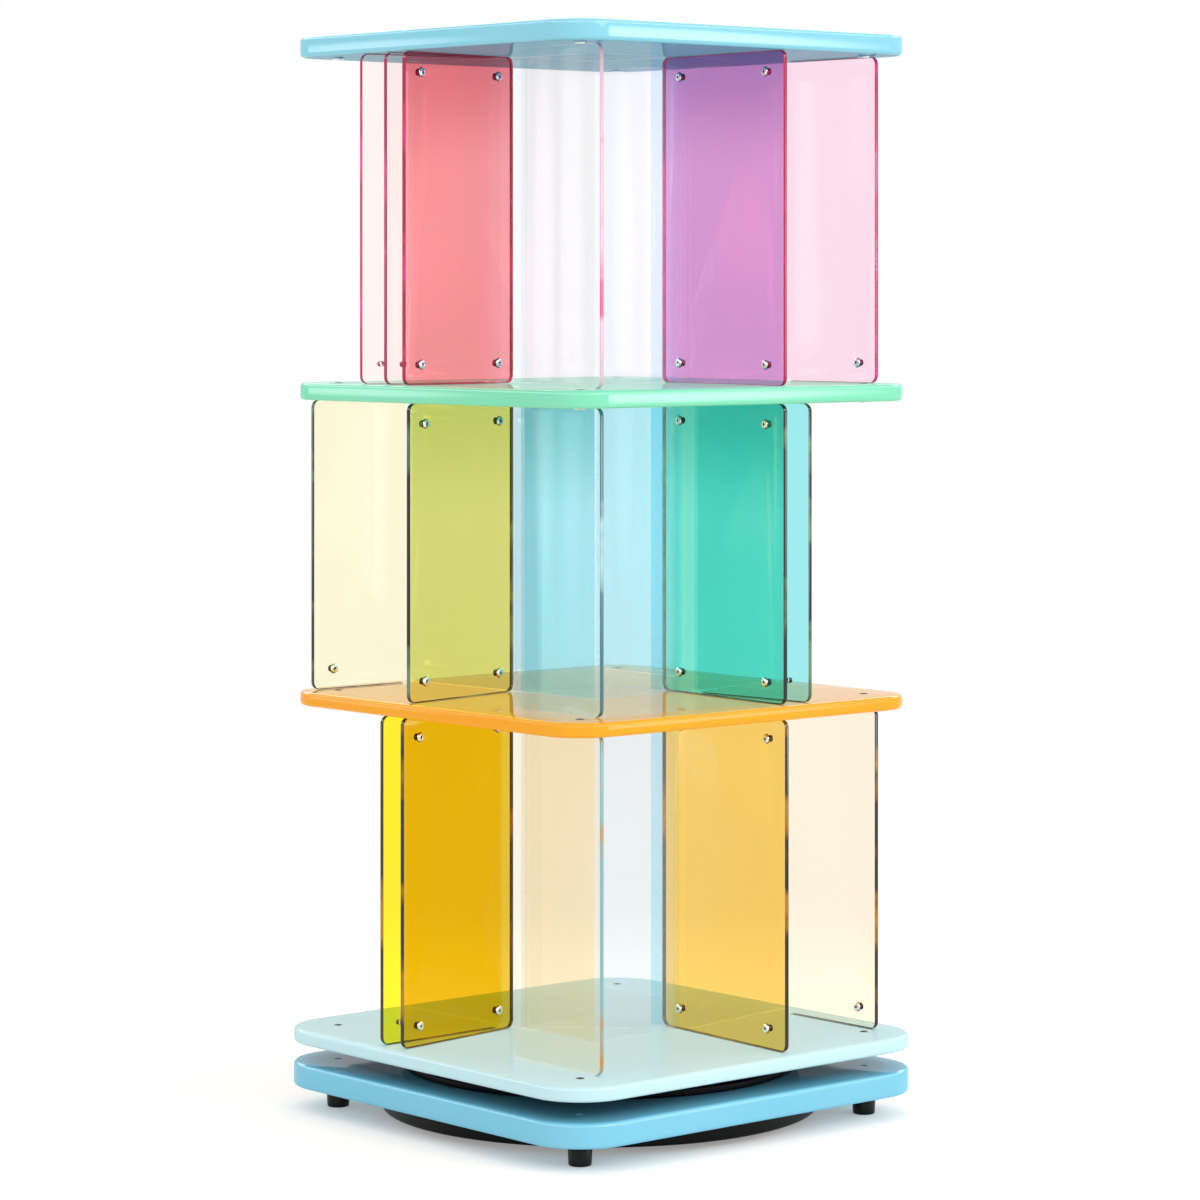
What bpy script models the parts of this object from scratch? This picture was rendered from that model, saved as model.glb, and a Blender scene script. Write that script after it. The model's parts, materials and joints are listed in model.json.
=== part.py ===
"""Rotating book tower: three tiers of tinted acrylic pockets on a ball bearing turntable.

World frame: metres, +Z up, the origin on the floor under the turning axis.
The front is -Y and the left side is -X. Sizes below are in millimetres.
"""

from math import cos, pi, radians, sin, sqrt, tan, tau

import bmesh
import bpy
from mathutils import Vector

for old in list(bpy.data.objects):
    bpy.data.objects.remove(old, do_unlink=True)

MM = 0.001
GAP = 0.3                        # air that is left between pieces that touch

# Boards: lacquered slabs with round corners and softened edges
SHELF_WIDTH = 400.0
SHELF_CORNER_RADIUS = 38.0
LOWER_SHELF_THICKNESS = 12.5
UPPER_SHELF_THICKNESS = 15.0
TOP_BOARD_THICKNESS = 17.5
FLOOR_WIDTH = 415.0              # the turning floor and the base plate are a little wider
FLOOR_CORNER_RADIUS = 50.0
FLOOR_THICKNESS = 13.0
BASE_THICKNESS = 21.5
BOARD_EDGE_ROUND = 3.5
BOARD_EDGE_STEPS = 3
BOARD_CORNER_STEPS = 6
CORNER_BOLT_REACH = 165.0        # along X and along Y from the turning axis
CORNER_BOLT_HOLE_RADIUS = 3.3

# Clear heights between the boards
BOTTOM_TIER_CLEAR = 285.5
MIDDLE_TIER_CLEAR = 258.5
TOP_TIER_CLEAR = 289.0

# Feet, under the corner bolts
FOOT_HEIGHT = 20.5
FOOT_RADIUS = 10.8
FOOT_TAPER = 1.0                 # the foot's underside is this much smaller in radius
FOOT_EDGE_ROUND = 1.5
FOOT_SCREW_HOLE_RADIUS = 2.3
FOOT_SCREW_HEAD_RADIUS = 5.0
FOOT_SCREW_HEAD_DEPTH = 9.0

# Turntable: two pressed discs with a ring of caged balls between them
TURNTABLE_HEIGHT = 17.0
TURNTABLE_RADIUS = 177.0
DISC_THICKNESS = 7.0
DISC_EDGE_ROUND = 2.0
LOWER_DISC_STEP_IN = 3.0         # the lower disc's radius is this much smaller
DISC_SIDES = 52
RACE_RADIUS = 135.0
BALL_RADIUS = 3.2
BALL_COUNT = 20
BALL_CLEARANCE = 0.3
CAGE_HALF_WIDTH = 7.0
CAGE_THICKNESS = 1.4
PIVOT_RADIUS = 8.0
PIVOT_CLEARANCE = 0.4
PIVOT_HEAD_RADIUS = 13.0
PIVOT_HEAD_HEIGHT = 2.5
PIVOT_BITE = 12.0                # how far the pin stands in the base plate

# Ballast disc under the base plate
BALLAST_RADIUS = 193.0
BALLAST_FLOOR_GAP = 5.7
BALLAST_EDGE_ROUND = 2.5
BALLAST_BORE_RADIUS = 16.0

# Tinted acrylic sheets, all of one thickness
SHEET_THICKNESS = 4.0
SHEET_CORNER_RADIUS = 7.0
SHEET_CORNER_STEPS = 3
SCREW_HOLE_RADIUS = 2.1
SCREW_HOLE_SIDES = 10
SCREW_HEIGHT = 18.0              # from the board below or above
LEFT_VANE_SCREW_INSET = 20.0     # from a sheet's upright ends
FRONT_VANE_SCREW_INSET = 25.0
END_PANEL_SCREW_INSET = 22.0

# Core: a clear square column of two bent sheets, with a flat web across it
CORE_HALF_WIDTH = 49.5
CORE_BEND_RADIUS = 6.0
CORE_BEND_STEPS = 4

# Vanes: four sheets set round the core like a pinwheel, a few degrees off square
VANE_SETBACK = 4.0               # from a shelf's edge, in the bottom tier
UPPER_VANE_SETBACK = 6.0         # in the two tiers above it
LEFT_VANE_BEYOND_CORE = 5.5      # its middle line, beside the core's wall
LEFT_VANE_LEAN = 8.3             # degrees
MIDDLE_LEFT_VANE_LEAN = 10.8
FRONT_VANE_CLEARANCE = 1.4       # between the vane and the core's front corner
FRONT_VANE_LAP = 25.5            # how far the vane runs along the core's wall
FRONT_VANE_LEAN = 4.15
BACK_VANE_CLEARANCE = 0.5        # between the vane's inner end and the core
BACK_VANE_LAP = 29.5
BACK_VANE_LEAN = 3.25

# Joint strip: a clear bar on the core's wall, where the front vane ends
JOINT_STRIP_WIDTH = 5.5
JOINT_STRIP_DEPTH = 11.5
JOINT_STRIP_GAP = 0.5            # from the end of the vane's middle line

# Book stops: short sheets in the pockets that open to the front and to the back
STOP_INSET = 53.0                # from the shelf's side edge
STOP_SETBACK = 28.0              # from the shelf's front edge
STOP_CORE_GAP = 6.5

# Dividers beside the vanes; a lean above zero is towards the vane at the outer end
DIVIDER_SETBACK = 2.0
LEFT_DIVIDER_BEYOND_CORE = 13.5
LEFT_DIVIDER_LEAN = 1.2
OUTER_DIVIDER_BEYOND_CORE = 25.5
OUTER_DIVIDER_LEAN = -7.8
LEFT_DIVIDER_CORE_GAP = 5.0
FRONT_DIVIDER_BEYOND_CORE = 10.5
FRONT_DIVIDER_LEAN = -4.9
FRONT_DIVIDER_CORE_GAP = 3.5

# End panels close a corner pocket near the board's edge, clear of the corner bolts
END_PANEL_INSET = 21.0           # from the shelf's edge
RIGHT_END_PANEL_SETBACK = 33.0   # its outer end, from the shelf's front edge
RIGHT_END_PANEL_CORE_GAP = 1.5
BACK_END_PANEL_SETBACK = 17.0
BACK_END_PANEL_CORE_GAP = 25.5

# Heights that follow from the sizes above
BASE_LOW = FOOT_HEIGHT
BASE_HIGH = BASE_LOW + BASE_THICKNESS
FLOOR_LOW = BASE_HIGH + TURNTABLE_HEIGHT
FLOOR_HIGH = FLOOR_LOW + FLOOR_THICKNESS
LOWER_SHELF_LOW = FLOOR_HIGH + BOTTOM_TIER_CLEAR
LOWER_SHELF_HIGH = LOWER_SHELF_LOW + LOWER_SHELF_THICKNESS
UPPER_SHELF_LOW = LOWER_SHELF_HIGH + MIDDLE_TIER_CLEAR
UPPER_SHELF_HIGH = UPPER_SHELF_LOW + UPPER_SHELF_THICKNESS
TOP_BOARD_LOW = UPPER_SHELF_HIGH + TOP_TIER_CLEAR
TOP_BOARD_HIGH = TOP_BOARD_LOW + TOP_BOARD_THICKNESS
TIERS = {
    "bottom": (FLOOR_HIGH + GAP, LOWER_SHELF_LOW - GAP),
    "middle": (LOWER_SHELF_HIGH + GAP, UPPER_SHELF_LOW - GAP),
    "top": (UPPER_SHELF_HIGH + GAP, TOP_BOARD_LOW - GAP),
}
HALF_SHEET = SHEET_THICKNESS / 2
HALF_SHELF = SHELF_WIDTH / 2

COLOURS = {
    "sky_lacquer": (0.30, 0.66, 0.86, 1.0),
    "green_lacquer": (0.25, 0.78, 0.50, 1.0),
    "orange_lacquer": (1.00, 0.38, 0.05, 1.0),
    "ice_lacquer": (0.66, 0.90, 0.95, 1.0),
    "base_lacquer": (0.22, 0.56, 0.82, 1.0),
    "black_steel": (0.02, 0.02, 0.02, 1.0),
    "bearing_steel": (0.55, 0.55, 0.57, 1.0),
    "black_rubber": (0.015, 0.015, 0.015, 1.0),
    "clear_acrylic": (0.88, 0.95, 0.97, 0.3),
    "ice_acrylic": (0.62, 0.87, 0.95, 0.5),
    "coral_acrylic": (0.85, 0.20, 0.25, 0.6),
    "pink_acrylic": (0.93, 0.62, 0.78, 0.5),
    "violet_acrylic": (0.48, 0.22, 0.60, 0.6),
    "olive_acrylic": (0.75, 0.79, 0.26, 0.6),
    "cream_acrylic": (0.98, 0.93, 0.72, 0.5),
    "teal_acrylic": (0.30, 0.78, 0.52, 0.6),
    "cyan_acrylic": (0.25, 0.80, 0.85, 0.5),
    "amber_acrylic": (0.85, 0.54, 0.02, 0.6),
    "yellow_acrylic": (1.00, 0.85, 0.05, 0.5),
    "honey_acrylic": (0.92, 0.70, 0.19, 0.6),
}
METALS = ("black_steel", "bearing_steel")

# The tint of each sheet, by tier
TINTS = {
    "bottom": {"left": "amber_acrylic", "front": "honey_acrylic", "back": "clear_acrylic",
               "right": "clear_acrylic", "front_stop": "cream_acrylic",
               "back_stop": "clear_acrylic"},
    "middle": {"left": "olive_acrylic", "front": "teal_acrylic", "back": "cyan_acrylic",
               "right": "clear_acrylic", "front_stop": "cyan_acrylic",
               "back_stop": "cyan_acrylic"},
    "top": {"left": "coral_acrylic", "front": "violet_acrylic", "back": "clear_acrylic",
            "right": "pink_acrylic", "front_stop": "clear_acrylic",
            "back_stop": "clear_acrylic"},
}


def material(name):
    """A Principled material in one of the object's colours."""
    made = bpy.data.materials.get(name)
    if made:
        return made
    made = bpy.data.materials.new(name)
    made.use_nodes = True
    shader = made.node_tree.nodes["Principled BSDF"]
    colour = COLOURS[name]
    shader.inputs["Base Color"].default_value = colour
    shader.inputs["Alpha"].default_value = colour[3]
    shader.inputs["Metallic"].default_value = 1.0 if name in METALS else 0.0
    shader.inputs["Roughness"].default_value = 0.8 if name == "black_rubber" else 0.12
    made.diffuse_color = colour
    return made


def empty(name):
    """An empty on the turning axis that carries what turns with it."""
    holder = bpy.data.objects.new(name, None)
    bpy.context.collection.objects.link(holder)
    return holder


def finish(name, bm, colour, parent=None, smooth_angle=35.0):
    """Turn a bmesh that is drawn in millimetres into a named object."""
    bmesh.ops.scale(bm, vec=(MM, MM, MM), verts=bm.verts)
    bmesh.ops.recalc_face_normals(bm, faces=bm.faces)
    mesh = bpy.data.meshes.new(name)
    bm.to_mesh(mesh)
    bm.free()
    mesh.shade_smooth()
    mesh.set_sharp_from_angle(angle=radians(smooth_angle))
    mesh.materials.append(material(colour))
    made = bpy.data.objects.new(name, mesh)
    bpy.context.collection.objects.link(made)
    made.parent = parent
    return made


def join_or_cut(piece, tool, operation):
    """Add or cut a hidden shape."""
    tool.hide_render = True
    tool.display_type = "WIRE"
    step = piece.modifiers.new(operation.lower(), "BOOLEAN")
    step.operation = operation
    step.solver = "EXACT"
    step.object = tool


def rounded_outline(length, height, radius, steps):
    """Points round a rectangle with round corners, centred on the origin."""
    points = []
    for corner in range(4):
        middle_x = (length / 2 - radius) * (1 if corner in (0, 3) else -1)
        middle_y = (height / 2 - radius) * (1 if corner in (0, 1) else -1)
        for step in range(steps + 1):
            angle = (corner + step / steps) * pi / 2
            points.append((middle_x + radius * cos(angle), middle_y + radius * sin(angle)))
    return points


def circle(radius, sides, height, centre=(0.0, 0.0)):
    """Points of a level circle."""
    return [(centre[0] + radius * cos(tau * side / sides),
             centre[1] + radius * sin(tau * side / sides), height) for side in range(sides)]


def loft(bm, rings, closed=False):
    """Skin a stack of rings; cap both ends, or join the last ring to the first."""
    loops = [[bm.verts.new(point) for point in ring] for ring in rings]
    pairs = list(zip(loops, loops[1:]))
    if closed:
        pairs.append((loops[-1], loops[0]))
    for low, high in pairs:
        for index in range(len(low)):
            after = (index + 1) % len(low)
            bm.faces.new((low[index], low[after], high[after], high[index]))
    if not closed:
        bm.faces.new(reversed(loops[0]))
        bm.faces.new(loops[-1])


def rounded_rim(radius, low, high, fillet, steps=2):
    """The rim of a disc's profile, from its underside to its top, with round corners."""
    points = []
    for middle, start in ((low + fillet, -pi / 2), (high - fillet, 0.0)):
        for step in range(steps + 1):
            angle = start + step / steps * pi / 2
            points.append((radius - fillet + fillet * cos(angle), middle + fillet * sin(angle)))
    return points


def ball_race(face, middle, steps=4):
    """A groove for the balls in a disc's face, from its outer lip to its inner lip."""
    groove = BALL_RADIUS + BALL_CLEARANCE
    rise = face - middle
    half_width = sqrt(groove ** 2 - rise ** 2)
    points = []
    for step in range(steps + 1):
        across = half_width * (1 - 2 * step / steps)
        depth = sqrt(groove ** 2 - across ** 2)
        points.append((RACE_RADIUS + across, middle - depth if rise < 0 else middle + depth))
    return points


def corner_points():
    """Plan positions of the four corner bolts, each with the foot's name there."""
    for end, y in (("front", -CORNER_BOLT_REACH), ("back", CORNER_BOLT_REACH)):
        for side, x in (("left", -CORNER_BOLT_REACH), ("right", CORNER_BOLT_REACH)):
            yield f"{end}_{side}", (x, y)


def board(name, width, corner_radius, low, high, colour, parent=None):
    """A lacquered board with softened edges and a hole for each corner bolt."""
    levels = []
    for middle, start in ((low + BOARD_EDGE_ROUND, -pi / 2), (high - BOARD_EDGE_ROUND, 0.0)):
        for step in range(BOARD_EDGE_STEPS + 1):
            angle = start + step / BOARD_EDGE_STEPS * pi / 2
            inset = BOARD_EDGE_ROUND * (1 - cos(angle))
            levels.append((inset, middle + BOARD_EDGE_ROUND * sin(angle)))
    bm = bmesh.new()
    rings = []
    for inset, height in levels:
        outline = rounded_outline(width - 2 * inset, width - 2 * inset,
                                  corner_radius - inset, BOARD_CORNER_STEPS)
        rings.append([(x, y, height) for x, y in outline])
    loft(bm, rings)
    made = finish(name, bm, colour, parent)

    holes = bmesh.new()
    for _, centre in corner_points():
        loft(holes, [circle(CORNER_BOLT_HOLE_RADIUS, 12, height, centre)
                     for height in (low - 1.0, high + 1.0)])
    join_or_cut(made, finish(name + "_bolt_holes", holes, colour, parent), "DIFFERENCE")
    return made


def turned(name, profile, sides, colour, parent=None, centre=(0.0, 0.0)):
    """Revolve a closed profile of (radius, height) points that stays clear of the axis."""
    bm = bmesh.new()
    loft(bm, [circle(radius, sides, height, centre) for radius, height in profile], closed=True)
    return finish(name, bm, colour, parent)


def build_feet():
    """Rubber feet, each with a counterbore for its screw's head."""
    high = FOOT_HEIGHT - GAP
    floor_radius = FOOT_RADIUS - FOOT_TAPER
    for corner, centre in corner_points():
        turned(f"foot_{corner}", [
            (FOOT_SCREW_HOLE_RADIUS, FOOT_SCREW_HEAD_DEPTH),
            (FOOT_SCREW_HEAD_RADIUS, FOOT_SCREW_HEAD_DEPTH),
            (FOOT_SCREW_HEAD_RADIUS, 0.0),
            (floor_radius - FOOT_EDGE_ROUND, 0.0),
            (floor_radius, FOOT_EDGE_ROUND),
            (FOOT_RADIUS, high),
            (FOOT_SCREW_HOLE_RADIUS, high),
        ], 20, "black_rubber", centre=centre)


def build_base():
    """Base plate with a bore for the pivot pin, the ballast disc under it and the feet."""
    base = board("base_plate", FLOOR_WIDTH, FLOOR_CORNER_RADIUS, BASE_LOW, BASE_HIGH,
                 "base_lacquer")
    bore = bmesh.new()
    loft(bore, [circle(PIVOT_RADIUS + GAP, 20, height)
                for height in (BASE_HIGH - PIVOT_BITE - GAP, BASE_HIGH + 1.0)])
    join_or_cut(base, finish("pivot_bore", bore, "base_lacquer"), "DIFFERENCE")
    low, high = BALLAST_FLOOR_GAP, BASE_LOW - GAP
    turned("ballast_disc", [(BALLAST_BORE_RADIUS, low)]
           + rounded_rim(BALLAST_RADIUS, low, high, BALLAST_EDGE_ROUND)
           + [(BALLAST_BORE_RADIUS, high)], DISC_SIDES, "black_steel")
    build_feet()


def build_turntable(tower, cage_axis):
    """Lower disc, ball cage, upper disc and the pin that the tower turns on."""
    lower_low = BASE_HIGH + GAP
    lower_high = lower_low + DISC_THICKNESS
    upper_high = FLOOR_LOW - GAP
    upper_low = upper_high - DISC_THICKNESS
    middle = (lower_high + upper_low) / 2
    bore = PIVOT_RADIUS + PIVOT_CLEARANCE
    head_bore = PIVOT_HEAD_RADIUS + PIVOT_CLEARANCE
    head_high = upper_high - GAP
    head_low = head_high - PIVOT_HEAD_HEIGHT

    turned("turntable_lower_disc", [(bore, lower_low)]
           + rounded_rim(TURNTABLE_RADIUS - LOWER_DISC_STEP_IN, lower_low, lower_high,
                         DISC_EDGE_ROUND)
           + ball_race(lower_high, middle) + [(bore, lower_high)], DISC_SIDES, "black_steel")
    seat = head_low - PIVOT_CLEARANCE
    turned("turntable_upper_disc", [(bore, upper_low)] + ball_race(upper_low, middle)[::-1]
           + rounded_rim(TURNTABLE_RADIUS, upper_low, upper_high, DISC_EDGE_ROUND)
           + [(head_bore, upper_high), (head_bore, seat), (bore, seat)],
           DISC_SIDES, "black_steel", tower)

    pin = bmesh.new()
    loft(pin, [circle(PIVOT_RADIUS, 20, BASE_HIGH - PIVOT_BITE),
               circle(PIVOT_RADIUS, 20, head_low),
               circle(PIVOT_HEAD_RADIUS, 20, head_low),
               circle(PIVOT_HEAD_RADIUS, 20, head_high)])
    finish("pivot_pin", pin, "bearing_steel")
    build_ball_cage(middle, cage_axis)


def build_ball_cage(middle, cage_axis):
    """A flat steel ring that keeps the balls apart, with its balls."""
    inner, outer = RACE_RADIUS - CAGE_HALF_WIDTH, RACE_RADIUS + CAGE_HALF_WIDTH
    low, high = middle - CAGE_THICKNESS / 2, middle + CAGE_THICKNESS / 2
    cage = turned("ball_cage", [(inner, low), (outer, low), (outer, high), (inner, high)],
                  DISC_SIDES, "bearing_steel", cage_axis)
    balls = bmesh.new()
    for index in range(BALL_COUNT):
        angle = tau * (index + 0.5) / BALL_COUNT
        centre = (RACE_RADIUS * cos(angle), RACE_RADIUS * sin(angle))
        loft(balls, [circle(BALL_RADIUS * cos(radians(lift)), 7,
                            middle + BALL_RADIUS * sin(radians(lift)), centre)
                     for lift in (-70, -30, 30, 70)])
    join_or_cut(cage, finish("balls", balls, "bearing_steel", cage_axis), "UNION")


def build_boards(tower):
    """The four boards that turn."""
    board("turning_floor", FLOOR_WIDTH, FLOOR_CORNER_RADIUS, FLOOR_LOW, FLOOR_HIGH,
          "ice_lacquer", tower)
    board("lower_shelf", SHELF_WIDTH, SHELF_CORNER_RADIUS, LOWER_SHELF_LOW, LOWER_SHELF_HIGH,
          "orange_lacquer", tower)
    board("upper_shelf", SHELF_WIDTH, SHELF_CORNER_RADIUS, UPPER_SHELF_LOW, UPPER_SHELF_HIGH,
          "green_lacquer", tower)
    board("top_board", SHELF_WIDTH, SHELF_CORNER_RADIUS, TOP_BOARD_LOW, TOP_BOARD_HIGH,
          "sky_lacquer", tower)


def sheet(name, outer, inner, colour, parent, screw_inset=None, only_outer_low=False):
    """A flat sheet on edge, its middle plane from outer to inner, drilled for its screws."""
    low, high = TIERS[name.split("_")[0]]
    outer, inner = Vector(outer), Vector(inner)
    way = (inner - outer).normalized()
    across = Vector((-way.y, way.x))
    length = (inner - outer).length
    middle = (inner + outer) / 2
    level = (low + high) / 2

    def place(along, side, up):
        plan = middle + way * along + across * side
        return plan.x, plan.y, level + up

    outline = rounded_outline(length, high - low, SHEET_CORNER_RADIUS, SHEET_CORNER_STEPS)
    bm = bmesh.new()
    loft(bm, [[place(along, side, up) for along, up in outline]
              for side in (-HALF_SHEET, HALF_SHEET)])
    made = finish(name, bm, colour, parent)
    if screw_inset is None:
        return made

    along_outer = screw_inset - length / 2
    screw_up = (high - low) / 2 + GAP - SCREW_HEIGHT
    spots = [(along_outer, -screw_up)]
    if not only_outer_low:
        spots += [(along_outer, screw_up), (-along_outer, -screw_up), (-along_outer, screw_up)]
    holes = bmesh.new()
    for spot_along, spot_up in spots:
        loft(holes, [[place(spot_along + x, side, spot_up + y)
                      for x, y, _ in circle(SCREW_HOLE_RADIUS, SCREW_HOLE_SIDES, 0.0)]
                     for side in (-SHEET_THICKNESS, SHEET_THICKNESS)])
    join_or_cut(made, finish(name + "_screw_holes", holes, colour, parent), "DIFFERENCE")
    return made


def stop_short(outer, inner, wall, spare=0.0):
    """Where a sheet on its way inwards ends, so that it clears the face of another sheet."""
    outer, inner = Vector(outer), Vector(inner)
    wall_start, wall_end = Vector(wall[0]), Vector(wall[1])
    way = (inner - outer).normalized()
    wall_way = (wall_end - wall_start).normalized()
    offset = wall_start - outer
    crossing = way.x * wall_way.y - way.y * wall_way.x
    reach = (offset.x * wall_way.y - offset.y * wall_way.x) / crossing
    back = (HALF_SHEET + GAP + spare + HALF_SHEET * abs(way.dot(wall_way))) / abs(crossing)
    return outer + way * (reach - back)


def core_sheet(name, turn, parent):
    """One bent sheet of the core; turn is 1 for the front left one, -1 for its twin."""
    low, high = TIERS[name.split("_")[0]]
    outer, inner = CORE_HALF_WIDTH, CORE_HALF_WIDTH - SHEET_THICKNESS
    centre = CORE_BEND_RADIUS - outer
    bend = [pi + step / CORE_BEND_STEPS * pi / 2 for step in range(CORE_BEND_STEPS + 1)]
    points = [(-outer, outer)]
    points += [(centre + CORE_BEND_RADIUS * cos(angle), centre + CORE_BEND_RADIUS * sin(angle))
               for angle in bend]
    points += [(inner - GAP, -outer), (inner - GAP, -inner)]
    inner_radius = CORE_BEND_RADIUS - SHEET_THICKNESS
    points += [(centre + inner_radius * cos(angle), centre + inner_radius * sin(angle))
               for angle in reversed(bend)]
    points.append((-inner, outer))
    bm = bmesh.new()
    loft(bm, [[(x * turn, y * turn, height) for x, y in points] for height in (low, high)])
    return finish(name, bm, "clear_acrylic", parent)


def build_core(tier, tower):
    """The clear column round the axis and the web from its left to its right corner."""
    core_sheet(f"{tier}_core_front_sheet", 1, tower)
    core_sheet(f"{tier}_core_back_sheet", -1, tower)
    reach = CORE_HALF_WIDTH - SHEET_THICKNESS - GAP - HALF_SHEET / sqrt(2)
    sheet(f"{tier}_core_web", (-reach, reach), (reach, -reach), "clear_acrylic", tower)


def leaning_point(start, lean, level):
    """The point at y = level on a line through start that leans off the Y axis."""
    return start[0] + (level - start[1]) * tan(radians(lean)), level


def build_vanes(tier, tower):
    """The four vanes of a tier; returns the middle lines of the back and the right one."""
    edge = HALF_SHELF - (VANE_SETBACK if tier == "bottom" else UPPER_VANE_SETBACK)
    lean = MIDDLE_LEFT_VANE_LEAN if tier == "middle" else LEFT_VANE_LEAN
    corner = (CORE_HALF_WIDTH + FRONT_VANE_CLEARANCE + HALF_SHEET, -CORE_HALF_WIDTH)
    front = (leaning_point(corner, FRONT_VANE_LEAN, -edge),
             leaning_point(corner, FRONT_VANE_LEAN, FRONT_VANE_LAP - CORE_HALF_WIDTH))
    back_inner = (-CORE_HALF_WIDTH - BACK_VANE_CLEARANCE - HALF_SHEET,
                  CORE_HALF_WIDTH - BACK_VANE_LAP)
    back = (leaning_point(back_inner, -BACK_VANE_LEAN, edge), back_inner)
    tint = TINTS[tier]
    sheet(f"{tier}_front_vane", *front, tint["front"], tower, FRONT_VANE_SCREW_INSET)
    sheet(f"{tier}_back_vane", *back, tint["back"], tower, FRONT_VANE_SCREW_INSET)

    left_aim = (back_inner[0], CORE_HALF_WIDTH + LEFT_VANE_BEYOND_CORE)
    left_outer = (-edge, left_aim[1] - (edge + left_aim[0]) * tan(radians(lean)))
    sheet(f"{tier}_left_vane", left_outer, stop_short(left_outer, left_aim, back),
          tint["left"], tower, LEFT_VANE_SCREW_INSET)
    right_outer = (edge, -left_outer[1])
    right_inner = stop_short(right_outer, (front[1][0], -left_aim[1]), front)
    sheet(f"{tier}_right_vane", right_outer, right_inner, tint["right"], tower,
          LEFT_VANE_SCREW_INSET)
    joint_strip(tier, tower)
    return back, (right_outer, right_inner)


def joint_strip(tier, tower):
    """The clear bar on the core's right wall that the front vane's inner end meets."""
    low, high = TIERS[tier]
    left = CORE_HALF_WIDTH + GAP
    right = left + JOINT_STRIP_WIDTH
    front = FRONT_VANE_LAP - CORE_HALF_WIDTH + JOINT_STRIP_GAP
    back = front + JOINT_STRIP_DEPTH
    bm = bmesh.new()
    loft(bm, [[(left, front, height), (right, front, height), (right, back, height),
               (left, back, height)] for height in (low, high)])
    finish(f"{tier}_joint_strip", bm, "ice_acrylic", tower)


def build_stops(tier, tower):
    """A book stop in the front pocket and its twin, half a turn away."""
    offset = HALF_SHELF - STOP_INSET
    for end, turn in (("front", 1), ("back", -1)):
        sheet(f"{tier}_{end}_stop", (-offset * turn, (STOP_SETBACK - HALF_SHELF) * turn),
              (-offset * turn, -(CORE_HALF_WIDTH + STOP_CORE_GAP) * turn),
              TINTS[tier][f"{end}_stop"], tower)


def left_divider(name, beyond_core, lean, setback, back_vane, colour, tower):
    """A sheet beside the left vane that ends near the back vane's face."""
    aim = (back_vane[1][0], CORE_HALF_WIDTH + beyond_core)
    outer_x = setback - HALF_SHELF
    outer = (outer_x, aim[1] + (outer_x - aim[0]) * tan(radians(lean)))
    inner = stop_short(outer, aim, back_vane, LEFT_DIVIDER_CORE_GAP)
    sheet(name, outer, inner, colour, tower, LEFT_VANE_SCREW_INSET, only_outer_low=True)


def right_end_panel(name, colour, tower):
    """A sheet along the right side that closes the front right pocket."""
    offset = HALF_SHELF - END_PANEL_INSET
    sheet(name, (offset, RIGHT_END_PANEL_SETBACK - HALF_SHELF),
          (offset, -(CORE_HALF_WIDTH + RIGHT_END_PANEL_CORE_GAP)), colour, tower,
          END_PANEL_SCREW_INSET, only_outer_low=True)


def build_panels(tower):
    """Every tier's core, vanes and stops, with the dividers and end panels that differ."""
    vanes = {}
    for tier in TIERS:
        build_core(tier, tower)
        vanes[tier] = build_vanes(tier, tower)
        build_stops(tier, tower)

    left_divider("bottom_left_divider", LEFT_DIVIDER_BEYOND_CORE, LEFT_DIVIDER_LEAN,
                 DIVIDER_SETBACK, vanes["bottom"][0], "yellow_acrylic", tower)
    right_end_panel("bottom_end_panel", "cream_acrylic", tower)

    offset = HALF_SHELF - END_PANEL_INSET
    sheet("middle_end_panel", (BACK_END_PANEL_SETBACK - HALF_SHELF, offset),
          (-(CORE_HALF_WIDTH + BACK_END_PANEL_CORE_GAP), offset), "cream_acrylic", tower,
          END_PANEL_SCREW_INSET, only_outer_low=True)
    aim = (CORE_HALF_WIDTH + FRONT_DIVIDER_BEYOND_CORE,
           -(CORE_HALF_WIDTH + LEFT_VANE_BEYOND_CORE))
    outer = leaning_point(aim, FRONT_DIVIDER_LEAN, UPPER_VANE_SETBACK - HALF_SHELF)
    inner = stop_short(outer, aim, vanes["middle"][1], FRONT_DIVIDER_CORE_GAP)
    sheet("middle_front_divider", outer, inner, "cyan_acrylic", tower,
          FRONT_VANE_SCREW_INSET, only_outer_low=True)

    left_divider("top_left_divider", LEFT_DIVIDER_BEYOND_CORE, LEFT_DIVIDER_LEAN,
                 UPPER_VANE_SETBACK, vanes["top"][0], "pink_acrylic", tower)
    left_divider("top_outer_divider", OUTER_DIVIDER_BEYOND_CORE, OUTER_DIVIDER_LEAN,
                 UPPER_VANE_SETBACK, vanes["top"][0], "pink_acrylic", tower)
    right_end_panel("top_end_panel", "pink_acrylic", tower)


def main():
    """Build the whole tower."""
    tower_axis = empty("tower_axis")
    cage_axis = empty("cage_axis")
    build_base()
    build_turntable(tower_axis, cage_axis)
    build_boards(tower_axis)
    build_panels(tower_axis)


main()
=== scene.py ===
import json
from math import atan, cos, pi, radians, sin, tau

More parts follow.
